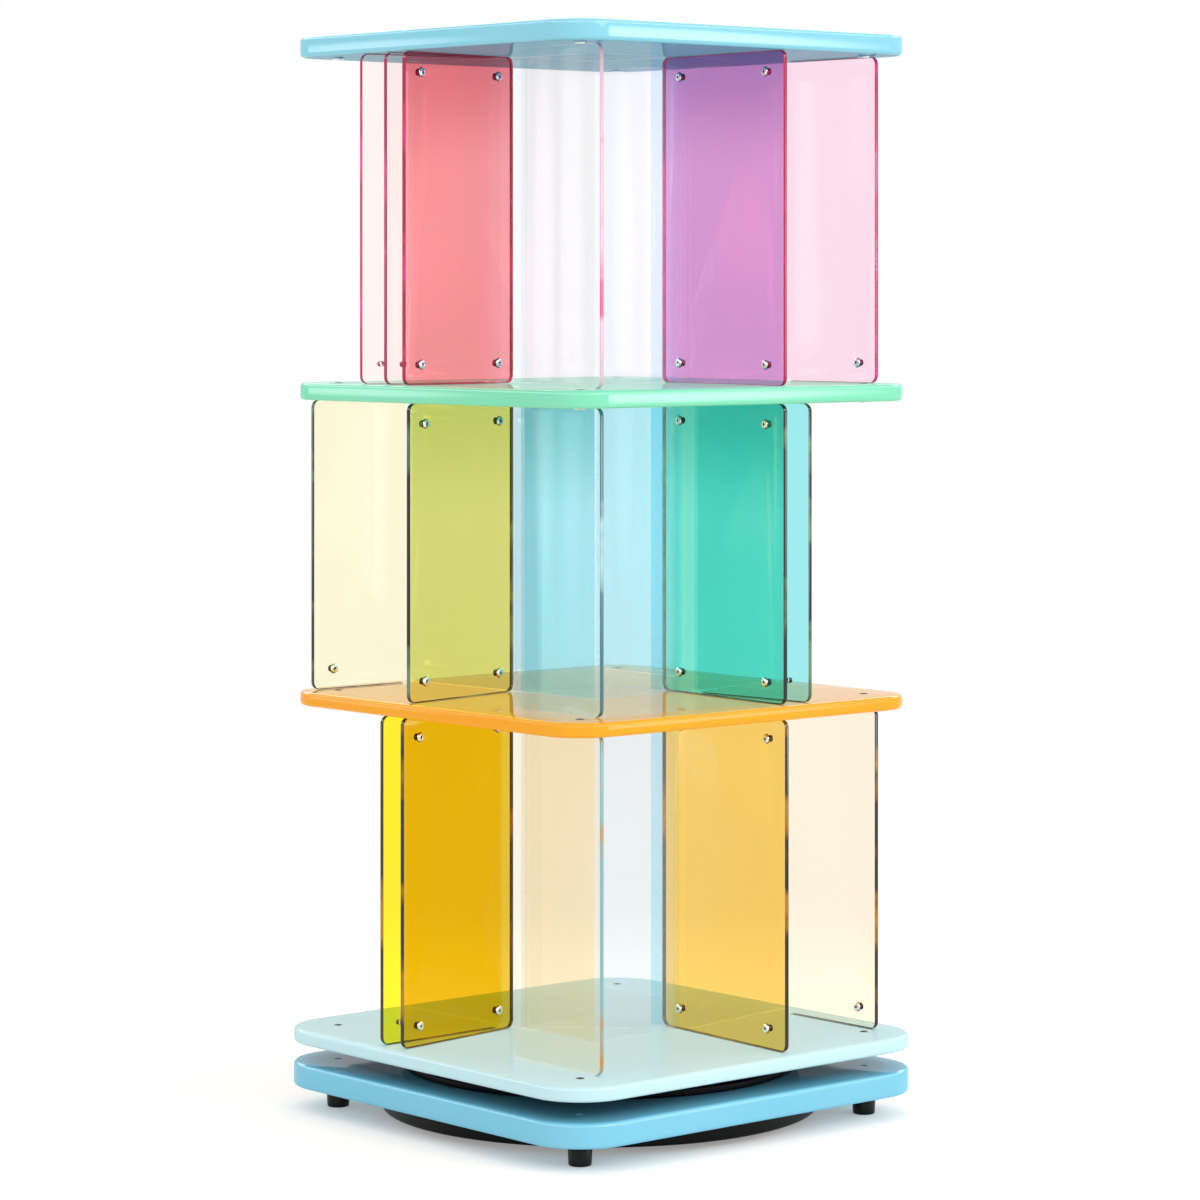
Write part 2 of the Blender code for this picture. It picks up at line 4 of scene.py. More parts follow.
import bmesh
import bpy
import numpy as np
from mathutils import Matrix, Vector


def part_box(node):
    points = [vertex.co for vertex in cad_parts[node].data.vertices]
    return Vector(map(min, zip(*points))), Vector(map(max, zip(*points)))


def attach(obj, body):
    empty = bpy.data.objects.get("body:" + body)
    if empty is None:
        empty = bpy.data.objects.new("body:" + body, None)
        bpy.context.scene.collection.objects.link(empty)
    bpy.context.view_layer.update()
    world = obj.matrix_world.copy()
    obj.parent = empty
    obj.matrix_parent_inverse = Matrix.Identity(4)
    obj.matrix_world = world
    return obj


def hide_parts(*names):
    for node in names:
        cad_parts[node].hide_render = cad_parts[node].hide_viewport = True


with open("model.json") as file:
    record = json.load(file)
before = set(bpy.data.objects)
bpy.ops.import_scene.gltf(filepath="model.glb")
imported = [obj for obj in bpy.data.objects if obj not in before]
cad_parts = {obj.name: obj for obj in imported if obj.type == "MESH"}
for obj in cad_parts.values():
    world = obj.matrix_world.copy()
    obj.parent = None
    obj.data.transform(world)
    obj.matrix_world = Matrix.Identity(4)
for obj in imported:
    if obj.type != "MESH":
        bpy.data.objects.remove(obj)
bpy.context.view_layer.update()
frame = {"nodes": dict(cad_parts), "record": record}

MM = 0.001
TIERS = ("bottom", "middle", "top")
TIER_TOPS = {tier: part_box(tier + "_left_vane")[1][2] for tier in TIERS}
# The level direction in which the camera looks, along X and along Y
VIEW_X = 0.6556
VIEW_Y = 0.7551


# Colours and shader trees

WHITE = (1.0, 1.0, 1.0, 1.0)
# Sockets of a Mix node that mixes colours
MIX_FACTOR = 0
MIX_FIRST = 6
MIX_SECOND = 7
MIX_RESULT = 2


def linear(hex_colour):
    """An sRGB hex colour as linear red, green, blue and alpha."""
    channels = [int(hex_colour[start:start + 2], 16) / 255 for start in (1, 3, 5)]
    return [c / 12.92 if c <= 0.04045 else ((c + 0.055) / 1.055) ** 2.4 for c in channels] + [1.0]


def pattern_scale(spacing):
    """The texture scale at which a pattern's features lie this many millimetres apart."""
    return 1000 / spacing


def node(tree, kind, values=(), links=(), **settings):
    """Add one node with its settings, its input values and the sockets that feed it."""
    made = tree.nodes.new(kind)
    for name, value in settings.items():
        setattr(made, name, value)
    for name, value in dict(values).items():
        made.inputs[name].default_value = value
    for name, socket in dict(links).items():
        tree.links.new(socket, made.inputs[name])
    return made


def new_material(name):
    """An empty node material; returns it with its tree, its output and object coordinates."""
    made = bpy.data.materials.new(name)
    made.use_nodes = True
    tree = made.node_tree
    tree.nodes.clear()
    output = node(tree, "ShaderNodeOutputMaterial")
    place = node(tree, "ShaderNodeTexCoord").outputs["Object"]
    return made, tree, output, place


def polish_over(tree, output, under, gloss, square_on, slanted):
    """Lay a clear polish over a shader: it mirrors one share square on, another at a slant."""
    slant = node(tree, "ShaderNodeLayerWeight", {"Blend": 0.5})
    steep = node(tree, "ShaderNodeMath", {1: 5.0}, {0: slant.outputs["Facing"]},
                 operation="POWER")
    share = node(tree, "ShaderNodeMath", {1: slanted, 2: square_on}, {0: steep.outputs[0]},
                 operation="MULTIPLY_ADD")
    polished = node(tree, "ShaderNodeMixShader", {}, {0: share.outputs[0], 1: under.outputs[0],
                                                      2: gloss.outputs[0]})
    tree.links.new(polished.outputs[0], output.inputs["Surface"])


LIGHT_PALING = 0.96              # how much of a sheet's tint stays out of the light behind it
HAZE_WHITE = "#F4F8FA"
# Metres from a tier's top at which the painted shade of the board above begins and is full
TOP_SHADE_BEGINS = -0.11
TOP_SHADE_FULL = 0.01


def acrylic(name, tint, deep, haze=0.0, top_shade=None, tier=None):
    """Cast acrylic sheet, dyed through and polished.

    It tints what is behind it and mirrors a little, more so at a slant. The dye lies a touch
    unevenly, and the cast faces wave by some hundredths of a millimetre over a hand's width.
    The light that it lets through on to other surfaces is tinted less than the view, as the
    photograph shows boards with no coloured shadows on them. A hazy sheet scatters a share of
    the light, which veils what stands behind it. Some sheets of the photograph darken towards
    the top of their tier: theirs go over to the top shade colour there, which is painted shade of
    the board above.
    """
    made, tree, output, place = new_material(name)
    drift = node(tree, "ShaderNodeTexNoise", {"Scale": pattern_scale(200), "Detail": 1.0},
                 {"Vector": place})
    colour = node(tree, "ShaderNodeMix", {MIX_FIRST: linear(tint), MIX_SECOND: linear(deep)},
                  {MIX_FACTOR: drift.outputs["Fac"]}, data_type="RGBA").outputs[MIX_RESULT]
    # Painted shade of the board above: towards the top of the tier the colour goes over to a
    # darker one
    if top_shade:
        level = node(tree, "ShaderNodeSeparateXYZ", {}, {"Vector": place})
        rise = node(tree, "ShaderNodeMapRange",
                    {"From Min": TIER_TOPS[tier] + TOP_SHADE_BEGINS,
                     "From Max": TIER_TOPS[tier] + TOP_SHADE_FULL},
                    {"Value": level.outputs["Z"]}, interpolation_type="SMOOTHSTEP")
        colour = node(tree, "ShaderNodeMix", {MIX_SECOND: linear(top_shade)},
                      {MIX_FACTOR: rise.outputs["Result"], MIX_FIRST: colour},
                      data_type="RGBA").outputs[MIX_RESULT]
    ray = node(tree, "ShaderNodeLightPath")
    lighting = node(tree, "ShaderNodeMath", {}, {0: ray.outputs["Is Shadow Ray"],
                                                 1: ray.outputs["Is Diffuse Ray"]},
                    operation="MAXIMUM")
    paling = node(tree, "ShaderNodeMath", {1: LIGHT_PALING}, {0: lighting.outputs[0]},
                  operation="MULTIPLY")
    passed = node(tree, "ShaderNodeMix", {MIX_SECOND: WHITE},
                  {MIX_FACTOR: paling.outputs[0], MIX_FIRST: colour}, data_type="RGBA")
    clear = node(tree, "ShaderNodeBsdfTransparent", {}, {"Color": passed.outputs[MIX_RESULT]})
    if haze:
        near = node(tree, "ShaderNodeBsdfDiffuse", {"Color": linear(HAZE_WHITE)})
        far = node(tree, "ShaderNodeBsdfTranslucent", {"Color": linear(HAZE_WHITE)})
        veil = node(tree, "ShaderNodeMixShader", {0: 0.5}, {1: near.outputs[0],
                                                           2: far.outputs[0]})
        clear = node(tree, "ShaderNodeMixShader", {0: haze}, {1: clear.outputs[0],
                                                             2: veil.outputs[0]})
    wave = node(tree, "ShaderNodeTexNoise", {"Scale": pattern_scale(70), "Detail": 0.0},
                {"Vector": place})
    waved = node(tree, "ShaderNodeBump", {"Strength": 0.25, "Distance": 0.15 * MM},
                 {"Height": wave.outputs["Fac"]})
    mirror = node(tree, "ShaderNodeBsdfAnisotropic", {"Color": WHITE, "Roughness": 0.03},
                  {"Normal": waved.outputs["Normal"]})
    polish_over(tree, output, clear, mirror, square_on=0.014, slanted=0.5)
    return made


def polished_rim(name, dark, bright):
    """The sawn and flame-polished edge of an acrylic sheet.

    It gathers the dye of the whole sheet, so it looks almost opaque: dark for the most part,
    with stretches of painted highlight, placed by noise, where light that travelled along the
    sheet comes out.
    """
    made, tree, output, place = new_material(name)
    patch = node(tree, "ShaderNodeTexNoise", {"Scale": pattern_scale(45), "Detail": 2.0},
                 {"Vector": place})
    # Painted highlight: the noise picks the bright stretches of the rim
    lit = node(tree, "ShaderNodeMapRange", {"From Min": 0.52, "From Max": 0.66},
               {"Value": patch.outputs["Fac"]})
    colour = node(tree, "ShaderNodeMix", {MIX_FIRST: linear(dark), MIX_SECOND: linear(bright)},
                  {MIX_FACTOR: lit.outputs["Result"]}, data_type="RGBA")
    shader = node(tree, "ShaderNodeBsdfPrincipled", {"Roughness": 0.12, "IOR": 1.49},
                  {"Base Color": colour.outputs[MIX_RESULT]})
    tree.links.new(shader.outputs[0], output.inputs["Surface"])
    return made


def lacquer(name, colour, shade, square_on=0.04, slanted=0.42):
    """Sprayed and buffed polyurethane lacquer over board.

    It is glossy with a fine orange peel, a few hundredths of a millimetre deep and some
    millimetres across, and its colour clouds a little.
    """
    made, tree, output, place = new_material(name)
    cloud = node(tree, "ShaderNodeTexNoise", {"Scale": pattern_scale(120), "Detail": 2.0},
                 {"Vector": place})
    body = node(tree, "ShaderNodeMix", {MIX_FIRST: linear(colour), MIX_SECOND: linear(shade)},
                {MIX_FACTOR: cloud.outputs["Fac"]}, data_type="RGBA")
    peel = node(tree, "ShaderNodeTexNoise", {"Scale": pattern_scale(7), "Detail": 1.0},
                {"Vector": place})
    bumped = node(tree, "ShaderNodeBump", {"Strength": 0.12, "Distance": 0.1 * MM},
                  {"Height": peel.outputs["Fac"]})
    haze = node(tree, "ShaderNodeTexNoise", {"Scale": pattern_scale(50), "Detail": 3.0},
                {"Vector": place})
    gloss = node(tree, "ShaderNodeMapRange", {"To Min": 0.05, "To Max": 0.1},
                 {"Value": haze.outputs["Fac"]})
    under = node(tree, "ShaderNodeBsdfDiffuse", {}, {"Color": body.outputs[MIX_RESULT]})
    mirror = node(tree, "ShaderNodeBsdfAnisotropic", {"Color": WHITE},
                  {"Roughness": gloss.outputs["Result"], "Normal": bumped.outputs["Normal"]})
    polish_over(tree, output, under, mirror, square_on, slanted)
    return made


def powder_coat(name, colour, worn):
    """Black powder coat on pressed steel: a fine pebbled skin, semi-gloss."""
    made, tree, output, place = new_material(name)
    mottle = node(tree, "ShaderNodeTexNoise", {"Scale": pattern_scale(18), "Detail": 4.0},
                  {"Vector": place})
    body = node(tree, "ShaderNodeMix", {MIX_FIRST: linear(colour), MIX_SECOND: linear(worn)},
                {MIX_FACTOR: mottle.outputs["Fac"]}, data_type="RGBA")
    pebble = node(tree, "ShaderNodeTexVoronoi", {"Scale": pattern_scale(1.6)},
                  {"Vector": place})
    bumped = node(tree, "ShaderNodeBump", {"Strength": 0.2, "Distance": 0.05 * MM},
                  {"Height": pebble.outputs["Distance"]})
    shader = node(tree, "ShaderNodeBsdfPrincipled", {"Roughness": 0.28, "IOR": 1.2},
                  {"Base Color": body.outputs[MIX_RESULT], "Normal": bumped.outputs["Normal"]})
    tree.links.new(shader.outputs[0], output.inputs["Surface"])
    return made


def moulded_rubber(name, colour, dusty):
    """Moulded black rubber: smooth, with a soft grain and a little dust."""
    made, tree, output, place = new_material(name)
    grain = node(tree, "ShaderNodeTexNoise", {"Scale": pattern_scale(0.8), "Detail": 3.0},
                 {"Vector": place})
    cloud = node(tree, "ShaderNodeTexNoise", {"Scale": pattern_scale(9), "Detail": 3.0},
                 {"Vector": place})
    body = node(tree, "ShaderNodeMix", {MIX_FIRST: linear(colour), MIX_SECOND: linear(dusty)},
                {MIX_FACTOR: cloud.outputs["Fac"]}, data_type="RGBA")
    bumped = node(tree, "ShaderNodeBump", {"Strength": 0.3, "Distance": 0.1 * MM},
                  {"Height": grain.outputs["Fac"]})
    shader = node(tree, "ShaderNodeBsdfPrincipled", {"Roughness": 0.3, "IOR": 1.3},
                  {"Base Color": body.outputs[MIX_RESULT], "Normal": bumped.outputs["Normal"]})
    tree.links.new(shader.outputs[0], output.inputs["Surface"])
    return made


def plated_steel(name, colour, dull, roughness):
    """Nickel-plated or ground steel: a mirror with fine rubbed marks."""
    made, tree, output, place = new_material(name)
    rub = node(tree, "ShaderNodeTexNoise", {"Scale": pattern_scale(2.5), "Detail": 4.0},
               {"Vector": place})
    body = node(tree, "ShaderNodeMix", {MIX_FIRST: linear(colour), MIX_SECOND: linear(dull)},
                {MIX_FACTOR: rub.outputs["Fac"]}, data_type="RGBA")
    gloss = node(tree, "ShaderNodeMapRange",
                 {"To Min": roughness * 0.6, "To Max": roughness * 1.6},
                 {"Value": rub.outputs["Fac"]})
    shader = node(tree, "ShaderNodeBsdfPrincipled", {"Metallic": 1.0},
                  {"Base Color": body.outputs[MIX_RESULT], "Roughness": gloss.outputs["Result"]})
    tree.links.new(shader.outputs[0], output.inputs["Surface"])
    return made


# Tints of one face of a sheet: light crosses two faces, so each has half of the dye
# Where a second colour is given for a tier, the sheet darkens towards the top of that tier:
# painted shade of the board above
ACRYLICS = {
    "clear_acrylic": acrylic("clear_cast_acrylic", "#FEFFFF", "#FDFEFF"),
    "ice_acrylic": acrylic("ice_cast_acrylic", "#E3F7FC", "#DEF4FB"),
    "coral_acrylic": acrylic("coral_cast_acrylic", "#FCCED1", "#FAC6CA",
                             top_shade="#EFB2BA", tier="top"),
    "pink_acrylic": acrylic("pink_cast_acrylic", "#FEEFF6", "#FEECF4"),
    "violet_acrylic": acrylic("violet_cast_acrylic", "#EAC9E8", "#E8C4E7",
                              top_shade="#D2B2DA", tier="top"),
    "olive_acrylic": acrylic("olive_cast_acrylic", "#FFF7B9", "#FEF4B0",
                             top_shade="#F0EFA9", tier="middle"),
    "cream_acrylic": acrylic("cream_cast_acrylic", "#FFFCED", "#FFFBE9"),
    "teal_acrylic": acrylic("teal_cast_acrylic", "#B6F4EA", "#AEF0E2",
                            top_shade="#94DFD0", tier="middle"),
    "cyan_acrylic": acrylic("cyan_cast_acrylic", "#DCF6F9", "#D6F4F8"),
    "amber_acrylic": acrylic("amber_cast_acrylic", "#F5DF82", "#F3DB78"),
    "yellow_acrylic": acrylic("yellow_cast_acrylic", "#FFF87E", "#FFF774"),
    "honey_acrylic": acrylic("honey_cast_acrylic", "#FCE6A8", "#FBE3A0"),
}
# Sheets whose dye is weaker or stronger than their slot's
OWN_ACRYLICS = {
    "top_left_divider": acrylic("faint_pink_cast_acrylic", "#FFFDFC", "#FFFBFB"),
    "top_outer_divider": acrylic("faint_peach_cast_acrylic", "#FFFCFA", "#FFFAF7"),
    "top_right_vane": acrylic("paler_pink_cast_acrylic", "#FFFDFE", "#FFFCFD"),
    "middle_back_vane": acrylic("smoky_cyan_cast_acrylic", "#ECF4F6", "#E9F2F5"),
    "middle_back_stop": acrylic("pale_cyan_cast_acrylic", "#E1F7FD", "#DDF5FC"),
    "middle_front_divider": acrylic("bright_cyan_cast_acrylic", "#CEF7F8", "#C9F5F7"),
    "top_joint_strip": acrylic("pale_ice_cast_acrylic", "#F2F9FE", "#ECF6FD"),
    "middle_front_stop": acrylic("faint_cyan_cast_acrylic", "#F1FBFD", "#EEFAFC"),
    "middle_joint_strip": acrylic("deep_ice_cast_acrylic", "#D4F2FA", "#CEF0F9"),
    "bottom_front_stop": acrylic("faint_cream_cast_acrylic", "#FFFBF4", "#FFFAF1"),
    "bottom_end_panel": acrylic("apricot_cast_acrylic", "#FFFAF0", "#FFF8EC"),
}
# The left and the right wall of each core's front sheet
CORE_WALLS = {
    "bottom": (acrylic("champagne_core_acrylic", "#FFFAEC", "#FFF8E8", haze=0.1),
               acrylic("hazy_core_acrylic", "#FCFDFE", "#FAFCFE", haze=0.08)),
    # The left wall darkens towards the top of the tier: painted shade of the board above
    "middle": (acrylic("cyan_core_acrylic", "#DEF7FB", "#D8F5FA", haze=0.08,
                       top_shade="#B6E4E6", tier="middle"),
               acrylic("ice_core_acrylic", "#FAFEFF", "#F6FCFE", haze=0.08)),
    "top": (acrylic("faint_rose_core_acrylic", "#FAF9F8", "#F9F8F7"),
            acrylic("faint_ice_core_acrylic", "#FCFCFC", "#FBFBFB")),
}
RIMS = {
    "bottom": polished_rim("amber_acrylic_rim", "#2A1D08", "#B07A10"),
    "middle": polished_rim("smoky_acrylic_rim", "#1C2420", "#6E8A6A"),
    "top": polished_rim("crimson_acrylic_rim", "#B4104E", "#F02A7E"),
    "top_stop": polished_rim("rose_acrylic_rim", "#E6BCCF", "#EC4C86"),
    "middle_stop": polished_rim("slate_acrylic_rim", "#4E7C82", "#A6CCCE"),
    "bottom_stop": polished_rim("umber_acrylic_rim", "#86B4B8", "#C98A3A"),
    "clear": acrylic("clear_acrylic_rim", "#F2FBFD", "#F8FDFE"),
}
SKY_LACQUER = lacquer("sky_blue_lacquer", "#92DAED", "#84D4EB", 0.05)
GREEN_LACQUER = lacquer("mint_green_lacquer", "#8CE9C4", "#7AE5B8", 0.045, 0.5)
ORANGE_LACQUER = lacquer("orange_lacquer", "#FFB42A", "#FFA61C", 0.02, 0.75)
ICE_LACQUER = lacquer("ice_blue_lacquer", "#CDF2FA", "#C4EFF8", 0.045, 0.12)
BASE_LACQUER = lacquer("base_blue_lacquer", "#82D2EE", "#72CCEC", 0.05, 0.45)
# Darker lacquers for the undersides of boards: painted shade on faces that look down
SKY_SHADED_UNDERSIDE = lacquer("sky_blue_shaded_underside", "#5CA7C4", "#509BBA", 0.03, 0.3)
FLOOR_SHADED_UNDERSIDE = lacquer("dark_blue_shaded_underside", "#2C4D5A", "#263F4A")
BLACK_STEEL = powder_coat("black_powder_coat", "#050607", "#090A0C")
BLACK_RUBBER = moulded_rubber("black_moulded_rubber", "#050506", "#0A0B0C")
PLATED_STEEL = plated_steel("nickel_plated_steel", "#F1F3F4", "#D9DDDF", 0.18)
BEARING_STEEL = plated_steel("ground_bearing_steel", "#A9ABAD", "#8F9294", 0.25)
DARK_STEEL = plated_steel("black_nickel_steel", "#6A6E70", "#4C5052", 0.18)
# Black steel for the corner bolts, and painted shade in the screws' sockets and round their heads
SHADE_AND_BLACK_STEEL = powder_coat("socket_shade_and_blackened_steel", "#0A0B0C", "#141618")


# Mesh helpers

SQUARE_ON = 0.999                # the cosine above which a face counts as facing a direction


def keep(name, mesh, materials, body, stands_for=(), smooth=30.0):
    """Put a finished mesh into the scene as one piece that rides on a body.

    It stands for the CAD nodes that are named, and takes the slot's finish. Faces that meet at
    less than the smooth angle, in degrees, are shaded as one.
    """
    places = [face.material_index for face in mesh.polygons]
    mesh.materials.clear()
    for made in materials:
        mesh.materials.append(made)
    if len(materials) > 1:
        mesh.polygons.foreach_set("material_index", places)
    mesh.shade_smooth()
    mesh.set_sharp_from_angle(angle=radians(smooth))
    piece = bpy.data.objects.new(name, mesh)
    bpy.context.collection.objects.link(piece)
    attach(piece, body)
    if stands_for:
        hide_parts(*stands_for)
    return piece


def slot_of(name):
    """The material slot of a CAD node, as the record names it."""
    for entry in frame["record"]["subparts"]:
        if entry["node"] == name:
            return entry["material_slot"]


def baked(source):
    """The evaluated mesh of an object, which is then removed."""
    graph = bpy.context.evaluated_depsgraph_get()
    mesh = bpy.data.meshes.new_from_object(source.evaluated_get(graph))
    bpy.data.objects.remove(source, do_unlink=True)
    return mesh


def cad_points(name):
    """The corner points of a CAD node's mesh."""
    return np.array([vertex.co for vertex in frame["nodes"][name].data.vertices])


def cad_copy(name):
    """A copy of a CAD node's mesh, its loose triangles joined into flat faces."""
    bm = bmesh.new()
    bm.from_mesh(frame["nodes"][name].data)
    bmesh.ops.remove_doubles(bm, verts=bm.verts, dist=0.005 * MM)
    bmesh.ops.dissolve_limit(bm, angle_limit=radians(1.0), verts=bm.verts, edges=bm.edges)
    return bm


def rounded_outline(length, height, radius, steps):
    """Points round a rectangle with round corners, centred on the origin."""
    points = []
    for corner in range(4):
        middle_x = (length / 2 - radius) * (1 if corner in (0, 3) else -1)
        middle_y = (height / 2 - radius) * (1 if corner in (0, 1) else -1)
        for step in range(steps + 1):
            angle = (corner + step / steps) * pi / 2
            points.append((middle_x + radius * cos(angle), middle_y + radius * sin(angle)))
    return points


def circle(radius, sides, height=0.0, centre=(0.0, 0.0)):
    """Points of a level circle."""
    return [(centre[0] + radius * cos(tau * side / sides),
             centre[1] + radius * sin(tau * side / sides), height) for side in range(sides)]


def hexagon(radius, sides, height):
    """Points of a hexagon, with as many points as a circle of that many sides."""
    points = []
    for side in range(sides):
        angle = tau * side / sides
        local = (angle % (tau / 6)) - tau / 12
        reach = radius * cos(tau / 12) / cos(local)
        points.append((reach * cos(angle), reach * sin(angle), height))
    return points


def quarter(middle_radius, middle_height, fillet, start, steps=6):
    """A quarter round of a profile, as radius and height points."""
    return [(middle_radius + fillet * cos(start + step / steps * pi / 2),
             middle_height + fillet * sin(start + step / steps * pi / 2))
            for step in range(steps + 1)]


def loft(bm, rings, closed=False):
    """Skin a stack of rings; cap both ends, or join the last ring to the first."""
    loops = [[bm.verts.new(point) for point in ring] for ring in rings]
    pairs = list(zip(loops, loops[1:]))
    if closed:
        pairs.append((loops[-1], loops[0]))
    for low, high in pairs:
        for index in range(len(low)):
            after = (index + 1) % len(low)
            bm.faces.new((low[index], low[after], high[after], high[index]))
    if not closed:
        bm.faces.new(reversed(loops[0]))
        bm.faces.new(loops[-1])


def mesh_from(bm, name):
    """A mesh from a bmesh, with its faces turned outwards."""
    bmesh.ops.recalc_face_normals(bm, faces=bm.faces)
    mesh = bpy.data.meshes.new(name)
    bm.to_mesh(mesh)
    bm.free()
    return mesh


# Acrylic sheets

SHEET_THICKNESS = 4.0 * MM
SHEET_CORNER = 7.0 * MM          # its radius
SHEET_CORNER_STEPS = 8
SHEET_ARRIS = 0.35 * MM          # the polished edge's small round
SCREW_HOLE = 2.1 * MM            # its radius
SCREW_HOLE_SIDES = 16
SCREW_HEIGHT = 17.7 * MM         # from a sheet's lower and upper edge
# Sheets with screws: how far these are from the upright ends, and whether only the lower one
# at the outer end is there
SHEET_SCREWS = {
    "left_vane": (20.0 * MM, False),
    "right_vane": (20.0 * MM, False),
    "front_vane": (25.0 * MM, False),
    "back_vane": (25.0 * MM, False),
    "left_divider": (20.0 * MM, True),
    "outer_divider": (20.0 * MM, True),
    "front_divider": (25.0 * MM, True),
    "end_panel": (22.0 * MM, True),
}
CLEAR_SCREW_PARTS = ("back_vane", "right_vane", "left_divider", "outer_divider", "front_divider")
CLEAR_RIM_PARTS = ("back_vane", "right_vane", "back_stop", "core_web")
NOT_FLAT = ("board", "core_front_sheet", "core_back_sheet", "joint_strip")
TOWARDS_FRONT_LEFT = Vector((-VIEW_X, -VIEW_Y, 0.0))


class Sheet:
    """Where a flat sheet stands: its middle, its level direction and the one across it."""

    def __init__(self, name):
        points = cad_points(name)
        plan = points[:, :2] - points[:, :2].mean(0)
        way = np.linalg.svd(plan, full_matrices=False)[2][0]
        across = np.array((-way[1], way[0]))
        if across @ np.array(TOWARDS_FRONT_LEFT[:2]) < 0:
            across = -across
        spans = [points[:, :2] @ axis for axis in (way, across)]
        middles = [(span.max() + span.min()) / 2 for span in spans]
        centre = way * middles[0] + across * middles[1]
        self.way = Vector((way[0], way[1], 0.0))
        self.across = Vector((across[0], across[1], 0.0))
        self.low, self.high = points[:, 2].min(), points[:, 2].max()
        self.middle = Vector((centre[0], centre[1], (self.low + self.high) / 2))
        self.length = spans[0].max() - spans[0].min()
        # the outer end is the one further from the turning axis
        if (self.middle + self.way * self.length / 2).xy.length < \
                (self.middle - self.way * self.length / 2).xy.length:
            self.way = -self.way

    def place(self, along, up, side=0.0):
        """A point on the sheet, from its middle."""
        return self.middle + self.way * along + Vector((0, 0, up)) + self.across * side


def screw_spots(sheet, inset, only_outer_low):
    """Distances of the screws along and up from a sheet's middle."""
    along = sheet.length / 2 - inset
    up = (sheet.high - sheet.low) / 2 - SCREW_HEIGHT
    spots = [(along, -up)]
    if not only_outer_low:
        spots += [(along, up), (-along, -up), (-along, up)]
    return spots


def sheet_mesh(name, sheet, spots, only_outer_rim=False):
    """A sheet with round corners, eased edges and drilled screw holes.

    The faces take the first material and the rim the second; the rim of an inner end that
    stands against another sheet takes the third.
    """
    curve = bpy.data.curves.new(name, "CURVE")
    curve.dimensions = "2D"
    curve.fill_mode = "BOTH"
    curve.extrude = SHEET_THICKNESS / 2 - SHEET_ARRIS
    curve.bevel_depth = SHEET_ARRIS
    curve.bevel_resolution = 2
    curve.offset = -SHEET_ARRIS
    loops = [rounded_outline(sheet.length, sheet.high - sheet.low, SHEET_CORNER,
                             SHEET_CORNER_STEPS)]
    for spot in spots:
        loops.append([point[:2] for point in circle(SCREW_HOLE, SCREW_HOLE_SIDES, 0.0, spot)])
    for loop in loops:
        spline = curve.splines.new("POLY")
        spline.points.add(len(loop) - 1)
        for point, (x, y) in zip(spline.points, loop):
            point.co = (x, y, 0.0, 1.0)
        spline.use_cyclic_u = True
    source = bpy.data.objects.new(name, curve)
    bpy.context.collection.objects.link(source)
    mesh = baked(source)
    bm = bmesh.new()
    bm.from_mesh(mesh)
    bmesh.ops.remove_doubles(bm, verts=bm.verts, dist=0.01 * MM)
    for vertex in bm.verts:
        x, y, z = vertex.co
        vertex.co = sheet.place(x, y, z)
    bmesh.ops.recalc_face_normals(bm, faces=bm.faces)
    half = sheet.length / 2
    for face in bm.faces:
        if abs(face.normal.dot(sheet.across)) > SQUARE_ON:
            face.material_index = 0
            continue
        along = (face.calc_center_median() - sheet.middle).dot(sheet.way)
        shown = along > (half - SHEET_CORNER if only_outer_rim else SHEET_CORNER - half)
        face.material_index = 1 if shown else 2
    bm.to_mesh(mesh)
    bm.free()
    mesh.name = name
    return mesh


def build_sheets():
    """Every flat sheet; returns the places and facings of the steel and the clear screws."""
    steel_screws, clear_screws = [], []
    for name in sorted(frame["nodes"]):
        tier, _, part = name.partition("_")
        if tier not in TIERS or part in NOT_FLAT:
            continue
        sheet = Sheet(name)
        slot = slot_of(name)
        spots = screw_spots(sheet, *SHEET_SCREWS[part]) if part in SHEET_SCREWS else []
        rim = RIMS[tier]
        if part in CLEAR_RIM_PARTS:
            rim = ACRYLICS["clear_acrylic"]
        elif part == "front_stop":
            rim = RIMS[tier + "_stop"]
        inner_rim = rim if part in ("left_vane", "front_vane") else ACRYLICS["clear_acrylic"]
        keep(name + "_sheet", sheet_mesh(name + "_sheet", sheet, spots, part == "front_stop"),
             (OWN_ACRYLICS.get(name) or ACRYLICS[slot], rim, inner_rim), "tower", (name,))
        screws = clear_screws if part in CLEAR_SCREW_PARTS else steel_screws
        for along, up in spots:
            screws.append((sheet.place(along, up), sheet.across))
    return steel_screws, clear_screws


def build_core_sheets():
    """The bent sheets of the core, in their CAD shapes: two walls and the thin faces as rims.

    Each half of the bend takes the material of the wall beside it.
    """
    for tier in TIERS:
        for end in ("front", "back"):
            name = f"{tier}_core_{end}_sheet"
            bm = cad_copy(name)
            bm.normal_update()
            for face in bm.faces:
                width = max((a.co.xy - b.co.xy).length for a in face.verts for b in face.verts)
                square = max(abs(face.normal.x), abs(face.normal.y)) > SQUARE_ON
                end_face = square and width < SHEET_THICKNESS * 1.05
                if abs(face.normal.z) > 0.9 or end_face:
                    face.material_index = 2
                else:
                    face.material_index = 0 if abs(face.normal.x) > abs(face.normal.y) else 1
            walls = CORE_WALLS[tier] if end == "front" else (ACRYLICS["clear_acrylic"],) * 2
            keep(name + "_bent", mesh_from(bm, name + "_bent"), (*walls, RIMS["clear"]),
                 "tower", (name,))


def build_joint_strips():
    """The clear bars between the core and the front vanes, with eased edges."""
    for tier in TIERS:
        name = f"{tier}_joint_strip"
        bm = cad_copy(name)
        bmesh.ops.bevel(bm, geom=bm.edges, offset=0.15 * MM, segments=2, profile=0.5,
                        affect="EDGES")
        keep(name + "_strip", mesh_from(bm, name + "_strip"),
             (OWN_ACRYLICS.get(name) or ACRYLICS["ice_acrylic"],), "tower", (name,))


# Boards

